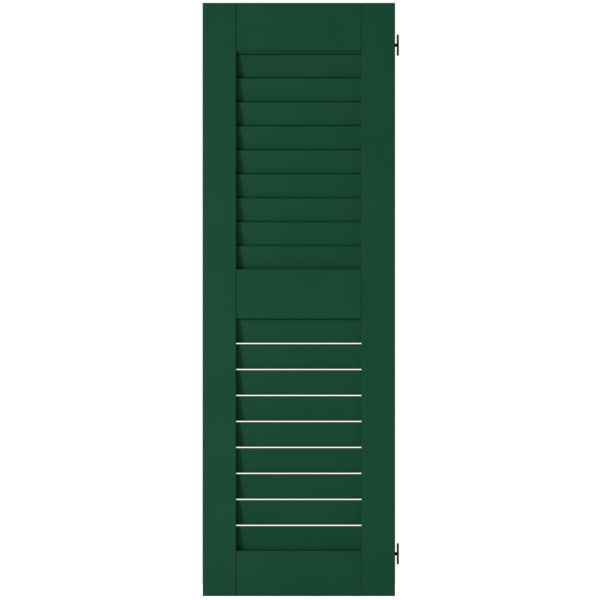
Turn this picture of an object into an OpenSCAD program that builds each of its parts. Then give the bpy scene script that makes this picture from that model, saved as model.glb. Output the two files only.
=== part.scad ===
// Louvred shutter leaf: two stiles and three rails hold two banks of fixed slats,
// and two small butt hinges carry the leaf on its +X edge.
// The front faces -Y and +Z is up. The origin is under the middle of the whole part.
// The front shows the slats' upper edges, as a shutter does when it is folded back open.

/* [Leaf] */
// Width of the leaf across both stiles
panel_w = 457; // [320:1:900]
// Height of the leaf
panel_h = 1408; // [1170:1:2200]
// Thickness of the stiles and rails
panel_t = 38; // [31:0.5:60]
// Width of each stile
stile_w = 80; // [60:1:120]
// Radius of the eased arrises
arris_r = 1.5; // [0.5:0.1:2.5]

/* [Rails] */
// Height of the top rail, with its lower bevel
top_rail_h = 121.5; // [95:0.5:180]
// Height of the bevel along the top rail's lower front edge
bevel_h = 10; // [4:0.5:20]
// Depth of that bevel
bevel_d = 9; // [4:0.5:13]
// Height of the middle rail at its front face
middle_rail_h = 118.6; // [80:0.1:180]
// Height of the middle rail's underside above the foot of the leaf
middle_rail_z = 657.7; // [540:0.1:730]
// Height of the bottom rail at its front face
bottom_rail_h = 108.5; // [80:0.5:180]
// Fall of the weathered rail tops towards the back, in degrees
weathering = 10; // [8:0.5:20]
// Rise of the undersides over the slats towards the back, in degrees
underside_rise = 10; // [5:0.5:15]

/* [Slats] */
// Number of slats in each of the two banks
slats_per_bank = 9; // [3:1:10]
// Width of a slat, from nose to nose
slat_w = 59.8; // [50:0.1:68]
// Thickness of a slat
slat_t = 8; // [6:0.1:10]
// Slope of the slats from level, in degrees
slat_tilt = 80; // [60:1:82]
// Gap between the highest slat of each bank and the underside over it
slat_top_gap = 0.3; // [0.2:0.1:2]
// How far the upper bank's lowest slat drops behind the middle rail
upper_lap = 3; // [0.5:0.1:3]
// How far the lower bank's lowest slat drops behind the bottom rail
lower_lap = 1; // [0.5:0.1:3]
// Depth of the housings that hold the slat ends
housing_depth = 8; // [4:0.5:15]
// Clearance all round a slat in its housing
housing_clear = 0.2; // [0.1:0.05:0.4]

/* [Rail dowels] */
// Diameter of the dowels
dowel_d = 10; // [6:0.5:16]
// Length of a dowel, half of it in the rail
dowel_l = 60; // [40:1:80]
// Distance from a rail's edges to its dowels
dowel_inset = 32; // [22:1:38]
// Clearance round a dowel
dowel_clear = 0.1; // [0.05:0.01:0.3]
// Spare depth past each end of a dowel
dowel_end_gap = 0.8; // [0.3:0.1:3]

/* [Hinges] */
// Distance from each end of the leaf to the middle of its hinge
hinge_inset = 100.6; // [70:0.1:250]
// Height of a hinge, over the domed ends of its pin
hinge_h = 51; // [40:0.5:100]
// Distance of the pin's axis from the stile's edge
axis_out = 6.3; // [5:0.1:12]
// Distance of the pin's axis in front of the leaf's face
axis_front = 2.65; // [2:0.05:8]
// Diameter of the barrel
barrel_d = 5; // [4:0.1:7]
// Diameter of the pin
pin_d = 2.6; // [1.8:0.1:3.2]
// Clearance between the pin and its bores
pin_clear = 0.05; // [0.03:0.01:0.1]
// Height of the pin's domed ends
dome_h = 2; // [1:0.1:2]
// Height of the knuckle on the leaf plate
leaf_knuckle_h = 15; // [10:0.5:20]
// Running gap between knuckles
knuckle_gap = 0.2; // [0.1:0.05:0.5]
// Height of the neck that joins the leaf plate to its knuckle
neck_h = 8; // [5:0.5:10]
// Thickness of the hinge plates and of the neck
plate_t = 2.2; // [1.8:0.1:3]
// Width of the leaf plate across the stile's edge
plate_w = 26; // [18:0.5:26]
// Wood left in front of the leaf plate
plate_setback = 4; // [3:0.1:5]
// Clearance round the leaf plate in its recess
plate_clear = 0.2; // [0.1:0.05:0.5]
// How far the jamb plate's face stands past the barrel
jamb_face_proud = 0.1; // [0.05:0.05:1]

/* [Screws] */
// Diameter of the screw holes in the plates
screw_hole_d = 4.4; // [3:0.1:5]
// Diameter of the screw shanks
screw_d = 4; // [2.6:0.1:4.6]
// Length of the leaf screws
screw_l = 30; // [16:1:34]
// Height between the two screws of a plate
screw_pitch = 28; // [20:0.5:36]
// How far the leaf plate's screws sit in front of its middle, and the jamb plate's behind it
screw_stagger = 4; // [2.5:0.5:5]
// Depth of the countersinks, which open at 90 degrees
countersink = 1.7; // [1.2:0.1:1.7]
// Clearance round a screw head and its shank
screw_clear = 0.1; // [0.05:0.05:0.2]
// Width of the arms of the cross cut in a screw head
drive_w = 0.9; // [0.6:0.1:1.2]
// Depth of the cross cut in a screw head
drive_depth = 1.1; // [0.6:0.1:1.4]

/* [Hidden] */
$fn = 48;
PAINT = [0.11, 0.28, 0.20];
BLACK_METAL = [0.06, 0.06, 0.06];
RAW_WOOD = [0.78, 0.62, 0.42];
ZINC = [0.70, 0.70, 0.72];
// Overrun of a cut past the face that it opens
CUT = 1;

// The whole part's footprint
barrel_r = barrel_d / 2;
hinge_reach = axis_out + barrel_r + jamb_face_proud;
total_w = panel_w + hinge_reach;
total_d = panel_t + axis_front + barrel_r;

// The rails, as [underside, front top] heights
opening_w = panel_w - 2 * stile_w;
bottom_rail_z = [0, bottom_rail_h];
middle_rail_zs = [middle_rail_z, middle_rail_z + middle_rail_h];
top_rail_z = [panel_h - top_rail_h, panel_h];
weathering_drop = panel_t * tan(weathering);

// A slat: how far apart the centres of its two noses are, and how deep in the leaf the upper one is
nose_span = slat_w - slat_t;
nose_rise = nose_span * sin(slat_tilt);
upper_nose_y = (panel_t - nose_span * cos(slat_tilt)) / 2;
slat_l = opening_w + 2 * (housing_depth - housing_clear);

// Height of the middle of the highest slat, below an underside that starts at y and z
function highest_slat_z(y, z) =
    let (from_underside = slat_t / 2 + slat_top_gap - (upper_nose_y - y) * sin(underside_rise))
    z - from_underside / cos(underside_rise) - nose_rise / 2;

// Height of the middle of the lowest slat, which drops by lap behind a rail's top at z
function lowest_slat_z(z, lap) = z - lap + slat_t / 2 + nose_rise / 2;

// Heights of the middles of a bank's slats, from the top down
function bank_zs(highest, lowest) =
    [for (k = [0:slats_per_bank - 1]) highest - k * (highest - lowest) / (slats_per_bank - 1)];

upper_slat_zs = bank_zs(
    highest_slat_z(bevel_d, top_rail_z[0]),
    lowest_slat_z(middle_rail_zs[1], upper_lap)
);
lower_slat_zs = bank_zs(
    highest_slat_z(0, middle_rail_zs[0]),
    lowest_slat_z(bottom_rail_z[1], lower_lap)
);

// The dowels' heights, two to a rail
dowel_zs = [for (rail = [bottom_rail_z, middle_rail_zs, top_rail_z])
    each [rail[0] + dowel_inset, rail[1] - dowel_inset]];

// The hinges, measured from the front arris of the stile's edge and the middle of their height
lower_hinge_z = hinge_inset;
upper_hinge_z = panel_h - hinge_inset;
pin_r = pin_d / 2;
bore_r = pin_r + pin_clear;
plate_h = hinge_h - 2 * dome_h;
jamb_knuckle_h = (plate_h - leaf_knuckle_h) / 2 - knuckle_gap;
axis = [axis_out, -axis_front];
plate_back = plate_setback + plate_w;
leaf_screw_y = plate_setback + plate_w / 2 - screw_stagger;
jamb_screw_y = plate_setback + plate_w / 2 + screw_stagger;
dome_sphere_r = (pow(barrel_r, 2) + pow(dome_h, 2)) / (2 * dome_h);

// Convex outlines with eased corners

function unit(v) = v / norm(v);

// Outward normal of the edge from a to b of a counter-clockwise outline
function outward(a, b) = unit([b.y - a.y, a.x - b.x]);

// The point that lies r inside both edges that meet at corner i
function inset_corner(outline, i, r) =
    let (
        n = len(outline),
        before = outward(outline[(i + n - 1) % n], outline[i]),
        after = outward(outline[i], outline[(i + 1) % n])
    )
    outline[i] - r * (before + after) / (1 + before * after);

module eased(outline, r) {
    n = len(outline);
    core = [for (i = [0:n - 1]) inset_corner(outline, i, r)];
    polygon(core);
    for (i = [0:n - 1]) {
        from = core[i];
        to = core[(i + 1) % n];
        out = r * outward(outline[i], outline[(i + 1) % n]);
        polygon([from, from + out, to + out, to]);
        translate(from) circle(r = r);
    }
}

function rectangle(w, h) = [[0, 0], [w, 0], [w, h], [0, h]];

// Puts the leaf's own frame, with its lower left front corner at zero, into the part's frame
module placed() {
    translate([-total_w / 2, axis_front + barrel_r - total_d / 2, 0]) children();
}

// Runs a Y-Z outline along +X
module along_x(length) {
    rotate([90, 0, 90]) linear_extrude(length) children();
}

// Stiles

// A slat's section at the middle of the leaf's thickness, larger all round by grow
module slat_section(z, grow = 0) {
    r = slat_t / 2 + grow;
    translate([panel_t / 2, z]) rotate(180 - slat_tilt) {
        square([nose_span, 2 * r], center = true);
        for (side = [-1, 1]) translate([side * nose_span / 2, 0]) circle(r = r);
    }
}

module stile_board() {
    intersection() {
        linear_extrude(panel_h) eased(rectangle(stile_w, panel_t), arris_r);
        along_x(stile_w) eased(rectangle(panel_t, panel_h), arris_r);
        translate([0, panel_t, 0]) rotate([90, 0, 0])
            linear_extrude(panel_t) eased(rectangle(stile_w, panel_h), arris_r);
    }
}

// Housings for the slats and holes for the dowels, cut into the face at x = stile_w
module stile_joinery() {
    for (z = concat(upper_slat_zs, lower_slat_zs))
        translate([stile_w - housing_depth, 0, 0])
            along_x(housing_depth + CUT) slat_section(z, housing_clear);
    hole_depth = dowel_l / 2 + dowel_end_gap;
    for (z = dowel_zs)
        translate([stile_w - hole_depth, panel_t / 2, z]) rotate([0, 90, 0])
            cylinder(r = dowel_d / 2 + dowel_clear, h = hole_depth + CUT);
}

module free_stile() {
    color(PAINT) placed() difference() {
        stile_board();
        stile_joinery();
    }
}

// Recess for one leaf plate and pilot holes for its screws, in the stile's edge at x = 0
module hinge_recess() {
    recess_h = plate_h + 2 * plate_clear;
    translate([-plate_t, plate_setback - plate_clear, -recess_h / 2])
        cube([plate_t + CUT, plate_w + 2 * plate_clear, recess_h]);
    pilot_depth = screw_l + dowel_end_gap;
    for (side = [-1, 1])
        translate([-pilot_depth, leaf_screw_y, side * screw_pitch / 2]) rotate([0, 90, 0])
            cylinder(d = screw_d + 2 * screw_clear, h = pilot_depth);
}

module hinge_stile() {
    color(PAINT) placed() difference() {
        translate([panel_w, 0, 0]) mirror([1, 0, 0]) difference() {
            stile_board();
            stile_joinery();
        }
        for (z = [lower_hinge_z, upper_hinge_z]) translate([panel_w, 0, z]) hinge_recess();
    }
}

// Rails

// A rail between the stiles from its Y-Z outline, with the dowel holes in its two ends
module rail(outline, zs) {
    hole_depth = dowel_l / 2 + dowel_end_gap;
    color(PAINT) placed() difference() {
        translate([stile_w, 0, 0]) along_x(opening_w) eased(outline, arris_r);
        for (z = [zs[0] + dowel_inset, zs[1] - dowel_inset],
             x = [stile_w - CUT, panel_w - stile_w - hole_depth])
            translate([x, panel_t / 2, z]) rotate([0, 90, 0])
                cylinder(r = dowel_d / 2 + dowel_clear, h = hole_depth + CUT);
    }
}

// Outline of a rail with a weathered top and an underside that rises by rise at its back
function weathered_outline(zs, rise) = [
    [0, zs[0]],
    [panel_t, zs[0] + rise],
    [panel_t, zs[1] - weathering_drop],
    [0, zs[1]]
];

module bottom_rail() rail(weathered_outline(bottom_rail_z, 0), bottom_rail_z);

module middle_rail() {
    rise = panel_t * tan(underside_rise);
    rail(weathered_outline(middle_rail_zs, rise), middle_rail_zs);
}

module top_rail() {
    rise = (panel_t - bevel_d) * tan(underside_rise);
    outline = [
        [bevel_d, top_rail_z[0]],
        [panel_t, top_rail_z[0] + rise],
        [panel_t, top_rail_z[1]],
        [0, top_rail_z[1]],
        [0, top_rail_z[0] + bevel_h]
    ];
    rail(outline, top_rail_z);
}

module rail_dowels() {
    color(RAW_WOOD) placed()
        for (x = [stile_w, panel_w - stile_w], z = dowel_zs)
            translate([x - dowel_l / 2, panel_t / 2, z]) rotate([0, 90, 0])
                cylinder(d = dowel_d, h = dowel_l);
}

// Slats

module slat(z) {
    color(PAINT) placed()
        translate([(panel_w - slat_l) / 2, 0, 0]) along_x(slat_l) slat_section(z);
}

// Hinges, each drawn about the front arris of the stile's edge and the middle of its height

module at_hinge(z) placed() translate([panel_w, 0, z]) children();

module knuckle(z, h) {
    translate([axis.x, axis.y, z]) cylinder(r = barrel_r, h = h);
}

module pin_bore() {
    translate([axis.x, axis.y, -hinge_h / 2]) cylinder(r = bore_r, h = hinge_h);
}

// Hole through a plate with its countersink opening at x = 0 towards +X
module countersunk_hole() {
    rotate([0, 90, 0]) {
        translate([0, 0, -plate_t - CUT]) cylinder(d = screw_hole_d, h = plate_t + 2 * CUT);
        translate([0, 0, -countersink])
            cylinder(r1 = screw_hole_d / 2, r2 = screw_hole_d / 2 + countersink + CUT, h = countersink + CUT);
    }
}

// The web from the leaf plate's front end to the middle of the barrel
module neck() {
    root_y = plate_setback + plate_t;
    across = outward([0, plate_setback + plate_t / 2], axis) * plate_t / 2;
    translate([0, 0, -neck_h / 2]) linear_extrude(neck_h) polygon([
        [-plate_t / 2, root_y],
        [-plate_t / 2, plate_setback],
        [0, plate_setback],
        axis + across,
        axis - across,
        [0, root_y]
    ]);
}

module leaf_plate(z) {
    color(BLACK_METAL) at_hinge(z) difference() {
        union() {
            translate([-plate_t, plate_setback, -plate_h / 2]) cube([plate_t, plate_w, plate_h]);
            neck();
            knuckle(-leaf_knuckle_h / 2, leaf_knuckle_h);
        }
        pin_bore();
        for (side = [-1, 1])
            translate([0, leaf_screw_y, side * screw_pitch / 2]) countersunk_hole();
    }
}

module jamb_plate(z) {
    gap_h = leaf_knuckle_h + 2 * knuckle_gap;
    gap_back = axis.y + barrel_r + knuckle_gap;
    color(BLACK_METAL) at_hinge(z) difference() {
        union() {
            translate([hinge_reach - plate_t, axis.y, -plate_h / 2])
                cube([plate_t, plate_back - axis.y, plate_h]);
            for (foot = [-plate_h / 2, plate_h / 2 - jamb_knuckle_h]) knuckle(foot, jamb_knuckle_h);
        }
        translate([axis.x - barrel_r - CUT, axis.y - barrel_r - CUT, -gap_h / 2])
            cube([barrel_d + jamb_face_proud + 2 * CUT, gap_back - axis.y + barrel_r + CUT, gap_h]);
        pin_bore();
        for (side = [-1, 1])
            translate([hinge_reach - plate_t, jamb_screw_y, side * screw_pitch / 2])
                mirror([1, 0, 0]) countersunk_hole();
    }
}

// The pin, with a dome as wide as the barrel on each end
module hinge_pin(z) {
    color(BLACK_METAL) at_hinge(z) translate([axis.x, axis.y, 0]) {
        translate([0, 0, -plate_h / 2]) cylinder(r = pin_r, h = plate_h);
        for (up = [0, 1]) mirror([0, 0, up]) translate([0, 0, plate_h / 2]) intersection() {
            translate([0, 0, dome_h - dome_sphere_r]) sphere(r = dome_sphere_r);
            cylinder(r = barrel_r, h = dome_h);
        }
    }
}

// One countersunk screw along -X, with its head flush at x = 0
module screw() {
    head_r = screw_hole_d / 2 + countersink - 2 * screw_clear;
    head_h = head_r - screw_d / 2;
    tip_l = screw_d;
    rotate([0, -90, 0]) difference() {
        union() {
            translate([0, 0, screw_clear]) cylinder(r1 = head_r, r2 = screw_d / 2, h = head_h);
            translate([0, 0, screw_clear]) cylinder(d = screw_d, h = screw_l - tip_l);
            translate([0, 0, screw_l - tip_l]) cylinder(d1 = screw_d, d2 = screw_d / 8, h = tip_l);
        }
        for (turn = [0, 90]) rotate(turn)
            translate([-head_r * 0.6, -drive_w / 2, 0])
                cube([head_r * 1.2, drive_w, drive_depth + screw_clear]);
    }
}

module leaf_screws(z) {
    color(ZINC) at_hinge(z)
        for (side = [-1, 1]) translate([0, leaf_screw_y, side * screw_pitch / 2]) screw();
}

free_stile();
hinge_stile();
top_rail();
middle_rail();
bottom_rail();
rail_dowels();
for (k = [1:slats_per_bank]) {
    slat(upper_slat_zs[k - 1]);
    slat(lower_slat_zs[k - 1]);
}
leaf_plate(upper_hinge_z);  // upper_leaf_plate
jamb_plate(upper_hinge_z);  // upper_jamb_plate
hinge_pin(upper_hinge_z);  // upper_hinge_pin
leaf_screws(upper_hinge_z);  // upper_leaf_screws
leaf_plate(lower_hinge_z);  // lower_leaf_plate
jamb_plate(lower_hinge_z);  // lower_jamb_plate
hinge_pin(lower_hinge_z);  // lower_hinge_pin
leaf_screws(lower_hinge_z);  // lower_leaf_screws
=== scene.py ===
"""A painted louvred shutter leaf on two black butt hinges, in front of a plain white studio."""

import math

import bmesh
import bpy
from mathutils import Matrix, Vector


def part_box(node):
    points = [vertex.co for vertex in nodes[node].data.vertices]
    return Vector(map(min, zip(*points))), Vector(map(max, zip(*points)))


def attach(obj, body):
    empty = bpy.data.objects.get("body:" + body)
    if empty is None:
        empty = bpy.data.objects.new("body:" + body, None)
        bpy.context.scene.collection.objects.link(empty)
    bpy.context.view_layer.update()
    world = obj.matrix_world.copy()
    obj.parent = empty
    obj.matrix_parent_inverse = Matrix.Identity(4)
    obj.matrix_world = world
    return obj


MM = 0.001
SLAT_T = 8.0 * MM
# Light that the floor sends back, and what it adds for the camera alone
FLOOR_ALBEDO = 0.75
FLOOR_GLOW = 0.85
# Noise cells per metre, along and across the wood
BRUSH_CELLS = (9.0, 420.0)
GRAIN_CELLS = (3.5, 95.0)
FIBRE_CELLS = (40.0, 900.0)

# Paint, as linear colours
GREEN = (0.0074, 0.0670, 0.0340)
GREEN_DEEP = (0.0058, 0.0612, 0.0304)
# Painted shade, mixed into the paint along arrises and in cracks and corners
GREEN_PAINTED_SHADE = (0.0015, 0.0190, 0.0085)
BEECH_LIGHT = (0.56, 0.36, 0.19)
BEECH_DARK = (0.42, 0.25, 0.12)
BLACK_COAT = (0.003, 0.003, 0.003)
BLACK_OXIDE = (0.022, 0.022, 0.024)

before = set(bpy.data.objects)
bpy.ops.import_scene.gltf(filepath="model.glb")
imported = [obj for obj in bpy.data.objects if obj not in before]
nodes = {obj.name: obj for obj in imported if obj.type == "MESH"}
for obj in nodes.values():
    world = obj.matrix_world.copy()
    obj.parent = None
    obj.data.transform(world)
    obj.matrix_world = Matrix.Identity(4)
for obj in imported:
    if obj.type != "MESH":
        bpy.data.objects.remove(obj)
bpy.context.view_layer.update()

UPPER_SLATS = sorted(n for n in nodes if n.startswith("upper_slat_"))
LOWER_SLATS = sorted(n for n in nodes if n.startswith("lower_slat_"))
STILES = ["free_stile", "hinge_stile"]
RAILS = ["top_rail", "middle_rail", "bottom_rail"]


# Node-tree helpers


class Tree:
    """Adds nodes to one material, with their inputs set or linked by name."""

    def __init__(self, name):
        self.material = bpy.data.materials.new(name)
        self.material.use_nodes = True
        self.nodes = self.material.node_tree.nodes
        self.links = self.material.node_tree.links
        self.shader = self.nodes["Principled BSDF"]

    def add(self, kind, settings=None, **inputs):
        made = self.nodes.new("ShaderNode" + kind)
        for key, value in (settings or {}).items():
            setattr(made, key, value)
        self.feed(made, **inputs)
        return made

    def feed(self, target, **inputs):
        """Sets or links inputs by name, with _ for a space, or by number, with i3 for the fourth."""
        for key, value in inputs.items():
            socket = target.inputs[int(key[1:]) if key[1:].isdigit() else key.replace("_", " ")]
            if isinstance(value, bpy.types.NodeSocket):
                self.links.new(value, socket)
            else:
                socket.default_value = value

    def noise(self, at, scale, detail=3.0, roughness=0.55, distortion=0.0):
        return self.add(
            "TexNoise", Vector=at, Scale=scale, Detail=detail, Roughness=roughness, Distortion=distortion
        ).outputs["Fac"]

    def stretched(self, stretch, offset):
        """Object coordinates in metres, multiplied by stretch and moved by offset."""
        at = self.add("TexCoord").outputs["Object"]
        return self.add("Mapping", Vector=at, Location=offset, Scale=stretch).outputs["Vector"]

    def remap(self, value, low, high, to_low, to_high):
        return self.add(
            "MapRange", Value=value, From_Min=low, From_Max=high, To_Min=to_low, To_Max=to_high
        ).outputs["Result"]

    def math(self, operation, a, b):
        return self.add("Math", {"operation": operation}, i0=a, i1=b).outputs[0]

    def mix(self, factor, a, b):
        made = self.add("Mix", {"data_type": "RGBA"})
        self.feed(made, i0=factor, i6=a, i7=b)
        return made.outputs[2]

    def bump(self, height, distance, strength=1.0, normal=None):
        made = self.add("Bump", Height=height, Distance=distance, Strength=strength)
        if normal is not None:
            self.feed(made, Normal=normal)
        return made.outputs["Normal"]

    def edges(self, radius):
        """0 on flats and 1 on arrises: how far a rounded normal turns from the true one."""
        soft = self.add("Bevel", {"samples": 6}, Radius=radius).outputs["Normal"]
        true = self.add("NewGeometry").outputs["Normal"]
        facing = self.add("VectorMath", {"operation": "DOT_PRODUCT"}, i0=soft, i1=true).outputs["Value"]
        cosine_on_arris = 0.86
        return self.remap(facing, 1.0, cosine_on_arris, 0.0, 1.0)

    def openness(self, reach):
        """1 on open faces, falling towards 0 in corners and cracks narrower than reach."""
        return self.add("AmbientOcclusion", {"samples": 8}, Distance=reach).outputs["AO"]


def rgba(colour):
    return (*colour, 1.0)


# Materials


def green_paint(name, grain_axis, seed):
    """Satin paint over wood whose grain runs along one axis, with painted shade darkening its arrises and
    its cracks.
    """
    tree = Tree(name)
    along = [axis == grain_axis for axis in "XYZ"]
    offset = (seed * 3.17, seed * 1.73, seed * 2.31)
    brush_at = tree.stretched([BRUSH_CELLS[0 if a else 1] for a in along], offset)
    grain_at = tree.stretched([GRAIN_CELLS[0 if a else 1] for a in along], offset)
    even_at = tree.stretched((1.0, 1.0, 1.0), offset)
    brush = tree.noise(brush_at, 1.0, detail=4.0)
    grain = tree.noise(grain_at, 1.0, detail=5.0, roughness=0.6, distortion=0.6)
    cloud = tree.noise(even_at, 7.0, detail=2.0)
    stipple = tree.noise(even_at, 900.0, detail=2.0)
    edge = tree.edges(3.2 * MM)
    openness = tree.openness(4.5 * MM)

    tone = tree.math("ADD", tree.math("MULTIPLY", cloud, 0.65), tree.math("MULTIPLY", brush, 0.35))
    body = tree.mix(tree.remap(tone, 0.35, 0.65, 0.0, 1.0), rgba(GREEN_DEEP), rgba(GREEN))
    # Painted shade: a dark band along the arrises, broken up by the grain and kept out of cracks
    edge_shade_and_wear = tree.math("MULTIPLY", edge, tree.remap(grain, 0.35, 0.65, 0.75, 1.0))
    edge_shade_and_wear = tree.math("MULTIPLY", edge_shade_and_wear, tree.remap(openness, 0.8, 1.0, 0.0, 1.0))
    # Painted shade: darker where the ambient-occlusion node finds the surface closed in, in cracks, corners
    # and between parts
    crevice_shade = tree.remap(openness, 0.35, 0.8, 1.0, 0.0)
    colour = tree.mix(tree.math("MAXIMUM", edge_shade_and_wear, crevice_shade), body, rgba(GREEN_PAINTED_SHADE))
    roughness = tree.remap(tree.math("ADD", brush, stipple), 0.7, 1.3, 0.38, 0.52)

    normal = tree.bump(grain, 0.22 * MM, 0.55)
    normal = tree.bump(brush, 0.06 * MM, 0.6, normal)
    normal = tree.bump(stipple, 0.02 * MM, 0.5, normal)
    tree.feed(tree.shader, Base_Color=colour, Roughness=roughness, Normal=normal)
    tree.shader.inputs["Specular IOR Level"].default_value = 0.1
    return tree.material


def bare_beech(name):
    """Turned dowel wood: fine darker rays along its length."""
    tree = Tree(name)
    long_way, across = FIBRE_CELLS
    at = tree.stretched((long_way, across, across), (0.0, 0.0, 0.0))
    fibres = tree.noise(at, 1.0, detail=4.0)
    colour = tree.mix(tree.remap(fibres, 0.35, 0.65, 0.0, 1.0), rgba(BEECH_DARK), rgba(BEECH_LIGHT))
    rough = tree.remap(fibres, 0.3, 0.7, 0.55, 0.75)
    tree.feed(tree.shader, Base_Color=colour, Roughness=rough, Normal=tree.bump(fibres, 0.1 * MM, 0.5))
    return tree.material


def black_metal(name, colour, worn, roughness, specular):
    """Powder coat or black oxide: a fine pebbled skin, rubbed a little brighter along its edges."""
    tree = Tree(name)
    at = tree.stretched((1.0, 1.0, 1.0), (0.0, 0.0, 0.0))
    pebble = tree.noise(at, 2600.0, detail=2.0)
    patch = tree.noise(at, 160.0, detail=3.0)
    edge_shade_and_wear = tree.math("MULTIPLY", tree.edges(0.35 * MM), tree.remap(patch, 0.4, 0.65, 0.1, 0.8))
    rough = tree.remap(patch, 0.3, 0.7, roughness - 0.06, roughness + 0.08)
    tree.feed(
        tree.shader,
        Base_Color=tree.mix(edge_shade_and_wear, rgba(colour), rgba(worn)),
        Roughness=rough,
        Normal=tree.bump(pebble, 0.03 * MM, 0.5),
    )
    tree.shader.inputs["Specular IOR Level"].default_value = specular
    return tree.material


def dress(node, material):
    """Gives a CAD node its material in every slot."""
    data = nodes[node].data
    data.materials.clear()
    data.materials.append(material)


def dress_all():
    for seed, name in enumerate(STILES):
        dress(name, green_paint("paint_" + name, "Z", 1.0 + seed))
    for seed, name in enumerate(RAILS + UPPER_SLATS + LOWER_SLATS):
        dress(name, green_paint("paint_" + name, "X", 5.0 + seed))
    coat = black_metal("black_powder_coat", BLACK_COAT, (0.006, 0.006, 0.006), 0.5, 0.06)
    oxide = black_metal("black_oxide", BLACK_OXIDE, (0.16, 0.16, 0.17), 0.38, 0.3)
    dress("rail_dowels", bare_beech("bare_beech"))
    for side in ("upper", "lower"):
        for part in ("leaf_plate", "jamb_plate", "hinge_pin"):
            dress(f"{side}_{part}", coat)
        dress(f"{side}_leaf_screws", oxide)


# Paint beads that fill the angle where each slat enters a stile


def slat_outline(node, grow, steps=18):
    """Points round a slat's section, grown outwards, with its outward directions, all in the Y-Z plane."""
    low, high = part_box(node)
    extent, depth = high.z - low.z, high.y - low.y
    centre = (low + high) / 2
    # Two round noses of one radius r, span apart: extent = span sin + 2r, depth = span cos + 2r
    radius = SLAT_T / 2
    along = Vector((0.0, -(depth - SLAT_T), extent - SLAT_T))
    points = []
    for end in (1, -1):
        nose = centre + along * (end / 2)
        start = math.atan2(along.z * end, along.y * end) - math.pi / 2
        for i in range(steps + 1):
            angle = start + math.pi * i / steps
            out = Vector((0.0, math.cos(angle), math.sin(angle)))
            points.append(nose + out * (radius + grow))
    return points


def housing_beads(name, stile, inward):
    """One mesh of hollow-faced paint beads, a ring round each slat end at this stile's inner face."""
    reach = 1.1 * MM
    sink = 0.25 * MM
    low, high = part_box(stile)
    face_x = high.x if inward > 0 else low.x
    # The bead's section as (distance from the slat, distance from the stile), hollow on the open side
    arc = [math.radians(a) for a in (0, 22.5, 45, 67.5, 90)]
    section = [(reach * (1 - math.sin(a)), reach * (1 - math.cos(a))) for a in arc]
    section += [(-sink, reach), (-sink, -sink), (reach, -sink)]
    mesh = bmesh.new()
    for node in UPPER_SLATS + LOWER_SLATS:
        rings = []
        for away, off in section:
            ring = [
                mesh.verts.new((face_x + inward * off, p.y, p.z)) for p in slat_outline(node, away)
            ]
            rings.append(ring)
        for a, b in zip(rings, rings[1:] + rings[:1]):
            for i in range(len(a)):
                j = (i + 1) % len(a)
                face = (a[i], a[j], b[j], b[i])
                mesh.faces.new(face if inward > 0 else face[::-1])
    bmesh.ops.recalc_face_normals(mesh, faces=mesh.faces)
    data = bpy.data.meshes.new(name)
    mesh.to_mesh(data)
    mesh.free()
    data.shade_smooth()
    bead = bpy.data.objects.new(name, data)
    bpy.context.scene.collection.objects.link(bead)
    data.materials.append(green_paint("paint_" + name, "Z", 31.0 + inward))
    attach(bead, "leaf")
    return bead


# Stage, light and camera


def camera_only(tree, unseen, seen):
    """A strength that camera rays meet as one value and all other rays as another."""
    path = tree.nodes.new("ShaderNodeLightPath")
    strength = tree.nodes.new("ShaderNodeMapRange")
    tree.links.new(path.outputs["Is Camera Ray"], strength.inputs["Value"])
    for name, value in (("To Min", unseen), ("To Max", seen)):
        if isinstance(value, bpy.types.NodeSocket):
            tree.links.new(value, strength.inputs[name])
        else:
            strength.inputs[name].default_value = value
    return strength.outputs["Result"]


def floor():
    """A pale floor that glows for the camera alone, so that it shows white with soft shadows."""
    mesh = bpy.data.meshes.new("floor")
    half = 2.5
    corners = [(-half, -half, 0), (half, -half, 0), (half, half, 0), (-half, half, 0)]
    mesh.from_pydata(corners, [], [(0, 1, 2, 3)])
    made = bpy.data.objects.new("floor", mesh)
    bpy.context.scene.collection.objects.link(made)
    tree = Tree("pale_floor")
    tree.shader.inputs["Base Color"].default_value = rgba([FLOOR_ALBEDO] * 3)
    tree.shader.inputs["Roughness"].default_value = 0.9
    tree.shader.inputs["Specular IOR Level"].default_value = 0.0
    tree.shader.inputs["Emission Color"].default_value = rgba((1, 1, 1))
    glow = camera_only(tree.material.node_tree, 0.0, FLOOR_GLOW)
    tree.feed(tree.shader, Emission_Strength=glow)
    mesh.materials.append(tree.material)


def white_world(seen, front, back):
    """A world that the camera sees as white; it lights the object dimly from the front, more from behind."""
    world = bpy.data.worlds.new("studio")
    bpy.context.scene.world = world
    world.use_nodes = True
    tree = world.node_tree
    direction = tree.nodes.new("ShaderNodeTexCoord").outputs["Generated"]
    axes = tree.nodes.new("ShaderNodeSeparateXYZ")
    tree.links.new(direction, axes.inputs[0])
    behind = tree.nodes.new("ShaderNodeMapRange")
    behind.interpolation_type = "SMOOTHSTEP"
    tree.links.new(axes.outputs["Y"], behind.inputs["Value"])
    for name, value in (("From Min", -0.2), ("From Max", 0.6), ("To Min", front), ("To Max", back)):
        behind.inputs[name].default_value = value
    background = tree.nodes["Background"]
    background.inputs["Color"].default_value = (1, 1, 1, 1)
    tree.links.new(camera_only(tree, behind.outputs["Result"], seen), background.inputs["Strength"])


def aim(obj, target):
    obj.rotation_mode = "QUATERNION"
    obj.rotation_quaternion = (Vector(target) - obj.location).to_track_quat("-Z", "Y")


def toward(azimuth, elevation):
    """Unit vector to a light azimuth degrees left of the viewer and elevation degrees up."""
    a, e = math.radians(azimuth), math.radians(elevation)
    return Vector((-math.sin(a) * math.cos(e), -math.cos(a) * math.cos(e), math.sin(e)))


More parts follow.
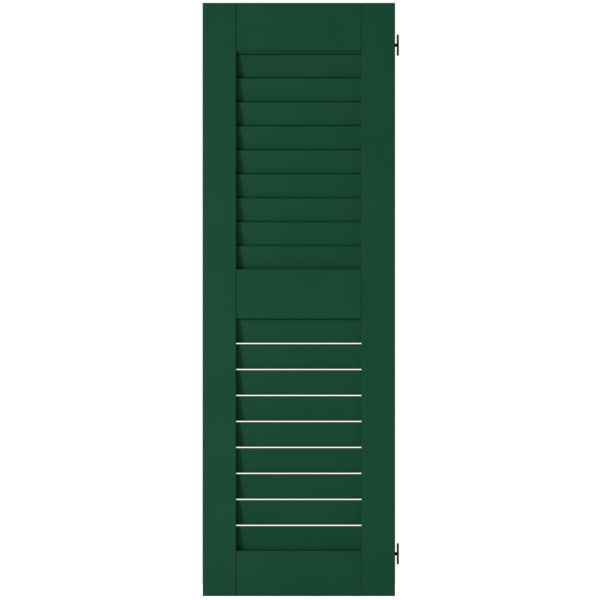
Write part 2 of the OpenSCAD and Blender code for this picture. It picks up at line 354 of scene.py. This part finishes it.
def sun(name, azimuth, elevation, strength, angle):
    light = bpy.data.lights.new(name, "SUN")
    light.energy = strength
    light.angle = math.radians(angle)
    made = bpy.data.objects.new(name, light)
    bpy.context.scene.collection.objects.link(made)
    made.location = 4 * toward(azimuth, elevation)
    aim(made, (0.0, 0.0, 0.0))


def panel_light(name, azimuth, distance, height, size, power):
    """A soft box, upright and facing the object."""
    light = bpy.data.lights.new(name, "AREA")
    light.shape = "RECTANGLE"
    light.size, light.size_y = size
    light.energy = power
    made = bpy.data.objects.new(name, light)
    bpy.context.scene.collection.objects.link(made)
    made.location = distance * toward(azimuth, 0) + Vector((0.0, 0.0, height))
    made.visible_camera = False
    aim(made, (0.0, 0.0, height))


def camera():
    """A head-on view from far away with a long lens, so the leaf shows with no visible perspective."""
    low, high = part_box("free_stile")
    leaf_h = high.z - low.z
    share_of_frame = 0.98892
    frame_h = leaf_h / share_of_frame
    distance = 60.0
    sensor = 36.0
    made = bpy.data.objects.new("camera", bpy.data.cameras.new("camera"))
    bpy.context.scene.collection.objects.link(made)
    made.data.sensor_width = sensor
    made.data.lens = sensor * distance / frame_h
    made.data.clip_end = 2 * distance
    left_of_centre = 1.7 * MM
    below_middle = 1.2 * MM
    made.location = (-left_of_centre, low.y - distance, leaf_h / 2 - below_middle)
    made.rotation_euler = (math.radians(90), 0, 0)
    bpy.context.scene.camera = made


dress_all()
housing_beads("free_stile_paint_beads", "free_stile", 1)
housing_beads("hinge_stile_paint_beads", "hinge_stile", -1)
floor()
white_world(seen=1.0, front=0.26, back=0.5)
sun("key", azimuth=45, elevation=15, strength=1.42, angle=8)
panel_light("near_key", azimuth=46, distance=2.1, height=0.7, size=(0.4, 2.2), power=14.9)
panel_light("front_fill", azimuth=24, distance=2.4, height=0.55, size=(1.2, 1.3), power=8.8)
panel_light("back_left", azimuth=150, distance=3.0, height=1.3, size=(1.2, 2.2), power=30)
panel_light("back_right", azimuth=-150, distance=3.0, height=1.3, size=(1.2, 2.2), power=18)
camera()
bpy.context.scene.view_settings.view_transform = "Standard"
